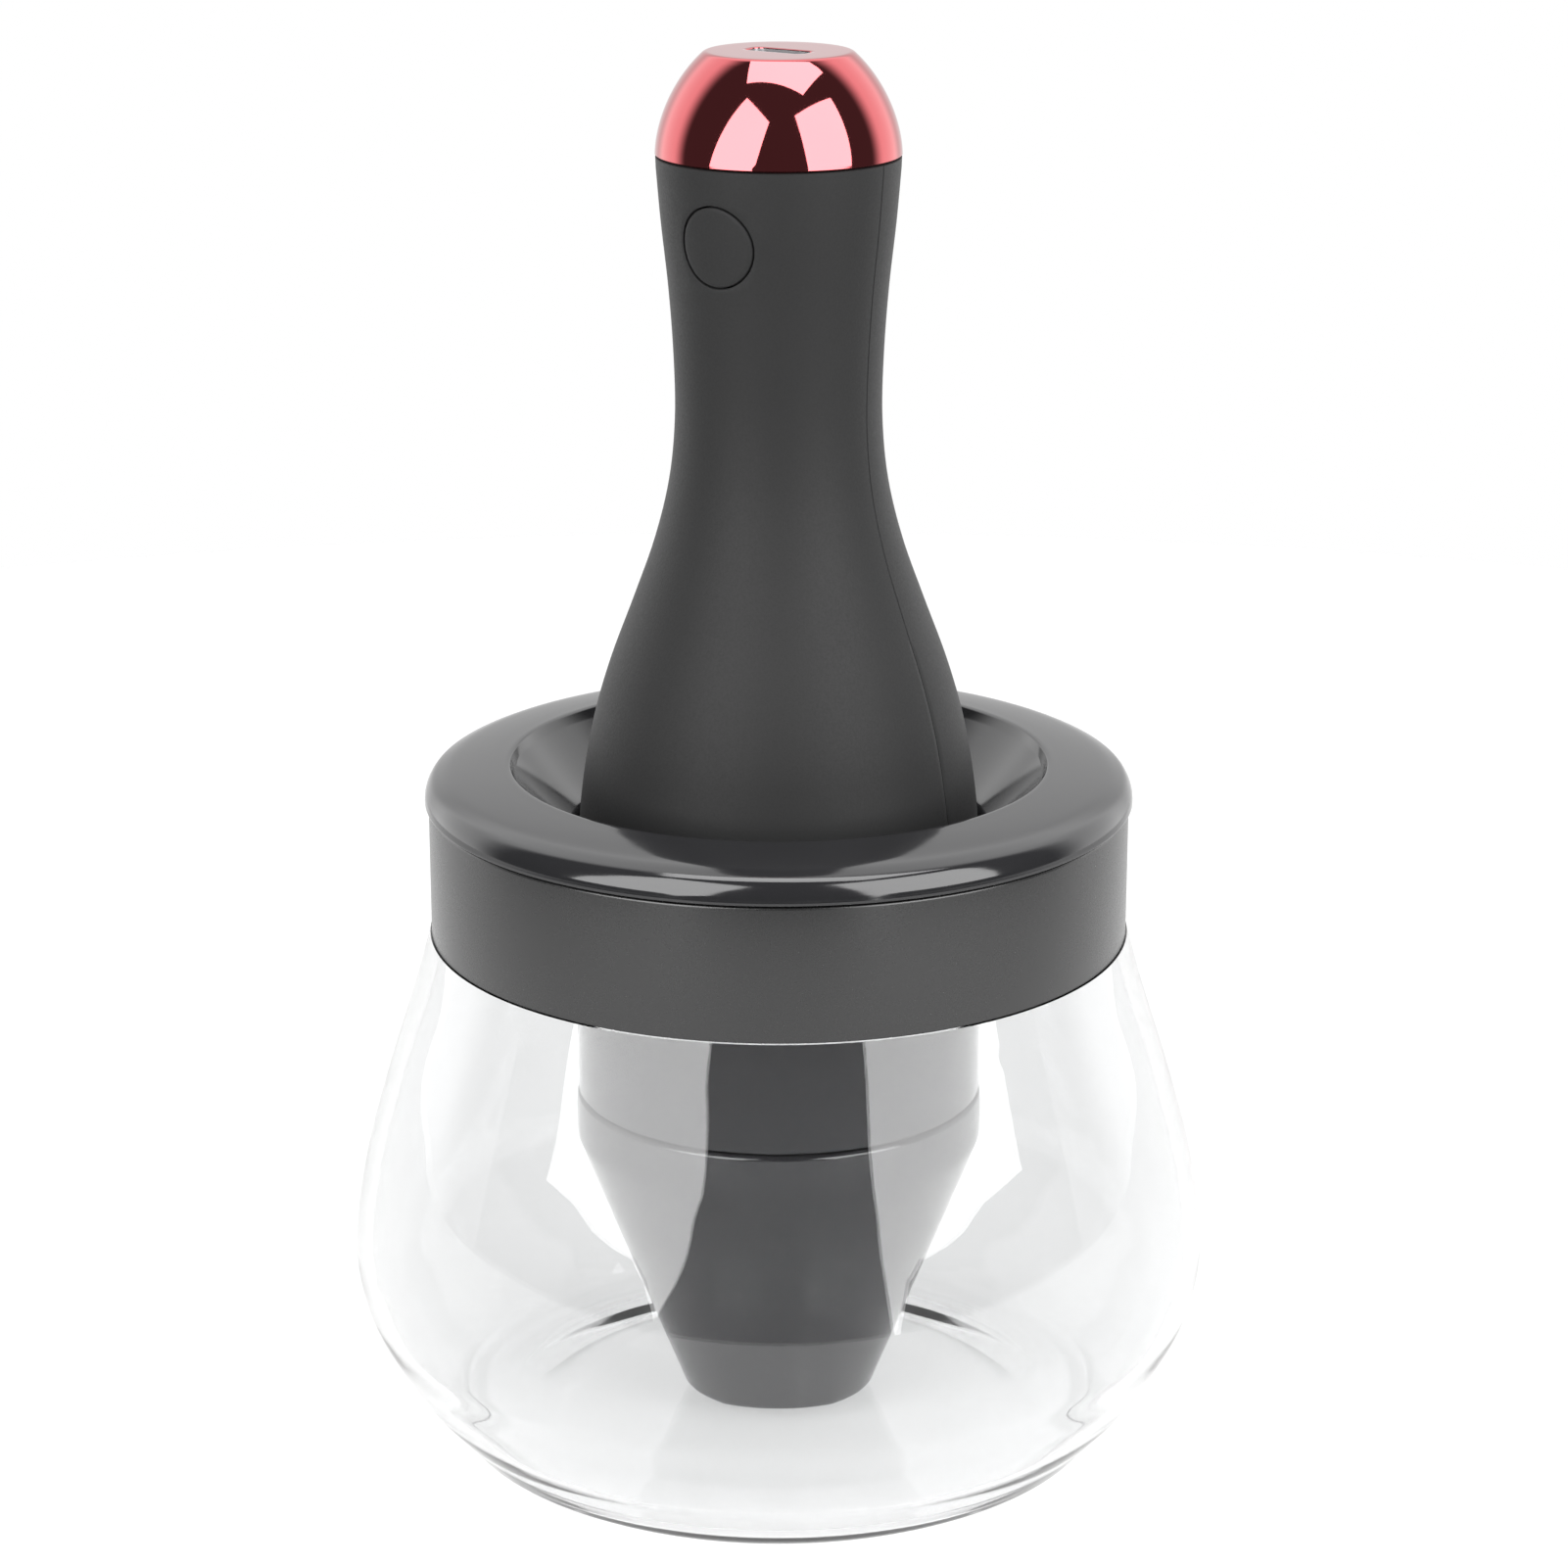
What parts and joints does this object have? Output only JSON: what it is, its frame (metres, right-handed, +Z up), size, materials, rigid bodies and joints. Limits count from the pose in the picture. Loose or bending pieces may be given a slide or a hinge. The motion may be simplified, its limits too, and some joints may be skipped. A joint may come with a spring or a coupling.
{
  "type": "electric makeup brush cleaner",
  "caption": "Battery-driven makeup brush cleaner: a pin-shaped spinner handle that stands in a splash ring over a clear pot-bellied bowl.",
  "frame": {"origin": "centre of the bowl's foot, on the surface it stands on", "axes": "+Z up, along the one axis that bowl, ring, handle and spindle share; the power button faces -Y and the charging slot runs along X"},
  "size_m": [0.1154, 0.1154, 0.1871],
  "materials": {
    "clear_glass": "clear, polished, thicker at the base",
    "gloss_black": "high-gloss moulded black",
    "satin_black": "satin dark grey",
    "soft_grey": "soft-touch matte coating",
    "red_mirror": "red mirror plating",
    "silicone": "translucent white silicone",
    "soft_rubber": "matte black rubber",
    "inner_plastic": "natural white moulding",
    "board_green": "solder mask over glass fibre",
    "battery_wrap": "shrink wrap",
    "steel": "plated steel",
    "nickel": "nickel strip",
    "brass": "turned brass",
    "copper": "copper and laminations",
    "ferrite": "sintered ferrite",
    "red_lead": "insulated wire",
    "black_lead": "insulated wire"
  },
  "bodies": {
    "bowl": {"glass_bowl": "clear_glass"},
    "ring": {"splash_ring_top": "gloss_black", "splash_ring_band": "satin_black", "bowl_gasket": "silicone", "rest_cup": "gloss_black"},
    "handle": {"handle_front_shell": "soft_grey", "handle_rear_shell": "soft_grey", "top_cap": "red_mirror", "switch_body": "soft_rubber", "main_board": "board_green", "board_screw_1": "steel", "board_screw_2": "steel", "usb_socket": "steel", "usb_tongue": "soft_rubber", "battery_cell": "battery_wrap", "battery_tab_top": "nickel", "battery_tab_bottom": "nickel", "battery_lead_red": "red_lead", "battery_lead_black": "black_lead", "motor_lead_red": "red_lead", "motor_lead_black": "black_lead", "inner_chassis": "inner_plastic", "chassis_screw_1": "steel", "chassis_screw_2": "steel", "motor_can": "steel", "motor_end_cap": "inner_plastic", "magnet_left": "ferrite", "magnet_right": "ferrite", "motor_plate": "inner_plastic", "motor_screw_1": "steel", "motor_screw_2": "steel", "base_cover": "gloss_black", "cover_screw_1": "steel", "cover_screw_2": "steel", "cover_screw_3": "steel", "spindle_bush": "brass", "spindle_seal": "silicone"},
    "button": {"power_button": "soft_grey"},
    "plunger": {"switch_plunger": "inner_plastic"},
    "rotor": {"motor_shaft": "steel", "armature_core": "copper", "commutator": "copper", "shaft_coupling": "brass", "spindle_shaft": "steel", "spindle_head": "inner_plastic", "brush_collar": "soft_rubber"}
  },
  "joints": [
    {"name": "ring_lift", "type": "slide", "parent": "bowl", "child": "ring", "axis": [0, 0, 1], "range_m": [0, 0.09]},
    {"name": "handle_lift", "type": "slide", "parent": "ring", "child": "handle", "axis": [0, 0, 1], "range_m": [0, 0.07]},
    {"name": "button_press", "type": "slide", "parent": "handle", "child": "button", "axis": [0, 1, 0], "range_m": [0, 0.0006], "stiffness_N_per_m": 1200, "springref_m": -0.0008},
    {"name": "plunger_press", "type": "slide", "parent": "handle", "child": "plunger", "axis": [0, 1, 0], "range_m": [0, 0.0006]},
    {"name": "spindle_spin", "type": "hinge", "parent": "handle", "child": "rotor", "pos_m": [0, 0, 0.046], "axis": [0, 0, 1], "continuous": true}
  ],
  "couplings": [
    {"joint": "plunger_press", "follows": "button_press", "ratio": 1}
  ]
}
